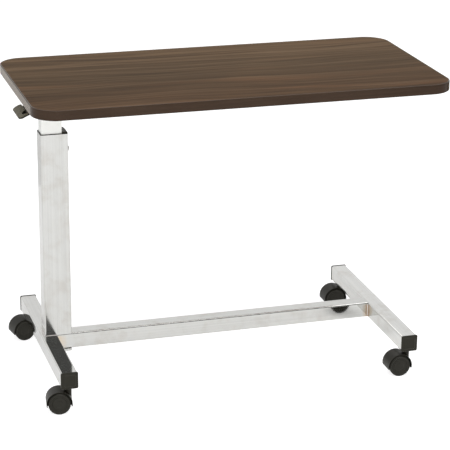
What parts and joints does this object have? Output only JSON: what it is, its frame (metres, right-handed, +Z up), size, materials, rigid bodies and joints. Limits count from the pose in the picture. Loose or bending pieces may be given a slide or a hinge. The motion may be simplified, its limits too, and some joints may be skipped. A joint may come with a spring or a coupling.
{
  "type": "overbed table",
  "caption": "Overbed table: wood-grain top cantilevered from a telescoping column with a release lever, on a chrome H base with hooded twin-wheel casters.",
  "frame": {"origin": "on the floor under the middle of the top", "axes": "+X along the long side of the top away from the column, +Y to the far long side, +Z up"},
  "size_m": [0.762, 0.39, 0.556],
  "materials": {
    "wood_grain_laminate": "satin walnut print",
    "particle_board": "raw board",
    "backing_paper": "matt",
    "brown_edge_band": "fine matt",
    "chrome_tube": "satin chrome plate",
    "grey_enamel": "semi-gloss",
    "black_nylon": "moulded",
    "hood_plastic": "fine texture",
    "wheel_nylon": "moulded",
    "grip_plastic": "grained",
    "zinc_steel": "zinc plated",
    "black_enamel": "semi-gloss",
    "bronze_bush": "turned"
  },
  "bodies": {
    "base": {"left_leg_tube": "chrome_tube", "right_leg_tube": "chrome_tube", "cross_rail_tube": "chrome_tube", "junction_plate": "chrome_tube", "column_foot_plate": "zinc_steel", "column_bolts": "zinc_steel", "leg_end_caps": "black_nylon", "outer_column": "chrome_tube", "column_liner": "black_nylon", "wear_block": "black_nylon", "wear_block_screw": "zinc_steel", "caster_sockets": "black_nylon", "gas_cylinder": "black_enamel", "rod_guide": "bronze_bush"},
    "mast": {"inner_column": "grey_enamel", "foot_glide": "black_nylon", "support_channel": "grey_enamel", "support_screws": "zinc_steel", "tabletop_core": "particle_board", "tabletop_laminate": "wood_grain_laminate", "backing_sheet": "backing_paper", "edge_band": "brown_edge_band", "rod_anchor_plate": "zinc_steel", "rod_lock_nut": "zinc_steel", "gas_rod": "chrome_tube", "gas_piston": "zinc_steel", "lever_pivot_pin": "zinc_steel"},
    "lever": {"lever_blade": "black_enamel", "lever_grip": "grip_plastic"},
    "release_pin": {"release_pin": "zinc_steel"},
    "front_left_caster": {"front_left_caster_hood": "hood_plastic", "front_left_caster_stem": "zinc_steel", "front_left_caster_axle": "zinc_steel"},
    "front_left_near_wheel": {"front_left_near_wheel": "wheel_nylon"},
    "front_left_far_wheel": {"front_left_far_wheel": "wheel_nylon"},
    "rear_left_caster": {"rear_left_caster_hood": "hood_plastic", "rear_left_caster_stem": "zinc_steel", "rear_left_caster_axle": "zinc_steel"},
    "rear_left_near_wheel": {"rear_left_near_wheel": "wheel_nylon"},
    "rear_left_far_wheel": {"rear_left_far_wheel": "wheel_nylon"},
    "front_right_caster": {"front_right_caster_hood": "hood_plastic", "front_right_caster_stem": "zinc_steel", "front_right_caster_axle": "zinc_steel"},
    "front_right_near_wheel": {"front_right_near_wheel": "wheel_nylon"},
    "front_right_far_wheel": {"front_right_far_wheel": "wheel_nylon"},
    "rear_right_caster": {"rear_right_caster_hood": "hood_plastic", "rear_right_caster_stem": "zinc_steel", "rear_right_caster_axle": "zinc_steel"},
    "rear_right_near_wheel": {"rear_right_near_wheel": "wheel_nylon"},
    "rear_right_far_wheel": {"rear_right_far_wheel": "wheel_nylon"}
  },
  "joints": [
    {"name": "height_slide", "type": "slide", "parent": "base", "child": "mast", "axis": [0, 0, 1], "range_m": [-0.027, 0.2], "stiffness_N_per_m": 400, "springref_m": 0.16},
    {"name": "lever_pivot", "type": "hinge", "parent": "mast", "child": "lever", "pos_m": [-0.338, 0, 0.518], "axis": [0, 1, 0], "range_deg": [0, 8], "stiffness_Nm_per_rad": 0.4, "springref_deg": -5.73},
    {"name": "release_pin_slide", "type": "slide", "parent": "mast", "child": "release_pin", "axis": [0, 0, -1], "range_m": [0, 0.0028]},
    {"name": "front_left_swivel", "type": "hinge", "parent": "base", "child": "front_left_caster", "pos_m": [-0.3325, -0.1775, 0.0495], "axis": [0, 0, 1], "continuous": true},
    {"name": "front_left_near_wheel_spin", "type": "hinge", "parent": "front_left_caster", "child": "front_left_near_wheel", "pos_m": [-0.34834, -0.17527, 0.02], "axis": [0.1392, 0.9903, 0], "continuous": true},
    {"name": "front_left_far_wheel_spin", "type": "hinge", "parent": "front_left_caster", "child": "front_left_far_wheel", "pos_m": [-0.34834, -0.17527, 0.02], "axis": [0.1392, 0.9903, 0], "continuous": true},
    {"name": "rear_left_swivel", "type": "hinge", "parent": "base", "child": "rear_left_caster", "pos_m": [-0.3325, 0.1775, 0.0495], "axis": [0, 0, 1], "continuous": true},
    {"name": "rear_left_near_wheel_spin", "type": "hinge", "parent": "rear_left_caster", "child": "rear_left_near_wheel", "pos_m": [-0.34826, 0.17472, 0.02], "axis": [-0.1736, 0.9848, 0], "continuous": true},
    {"name": "rear_left_far_wheel_spin", "type": "hinge", "parent": "rear_left_caster", "child": "rear_left_far_wheel", "pos_m": [-0.34826, 0.17472, 0.02], "axis": [-0.1736, 0.9848, 0], "continuous": true},
    {"name": "front_right_swivel", "type": "hinge", "parent": "base", "child": "front_right_caster", "pos_m": [0.3095, -0.1775, 0.0495], "axis": [0, 0, 1], "continuous": true},
    {"name": "front_right_near_wheel_spin", "type": "hinge", "parent": "front_right_caster", "child": "front_right_near_wheel", "pos_m": [0.2935, -0.1775, 0.02], "axis": [0, 1, 0], "continuous": true},
    {"name": "front_right_far_wheel_spin", "type": "hinge", "parent": "front_right_caster", "child": "front_right_far_wheel", "pos_m": [0.2935, -0.1775, 0.02], "axis": [0, 1, 0], "continuous": true},
    {"name": "rear_right_swivel", "type": "hinge", "parent": "base", "child": "rear_right_caster", "pos_m": [0.3095, 0.1775, 0.0495], "axis": [0, 0, 1], "continuous": true},
    {"name": "rear_right_near_wheel_spin", "type": "hinge", "parent": "rear_right_caster", "child": "rear_right_near_wheel", "pos_m": [0.2935, 0.1775, 0.02], "axis": [0, 1, 0], "continuous": true},
    {"name": "rear_right_far_wheel_spin", "type": "hinge", "parent": "rear_right_caster", "child": "rear_right_far_wheel", "pos_m": [0.2935, 0.1775, 0.02], "axis": [0, 1, 0], "continuous": true}
  ],
  "couplings": [
    {"joint": "release_pin_slide", "follows": "lever_pivot", "m_per_rad": 0.0197}
  ]
}
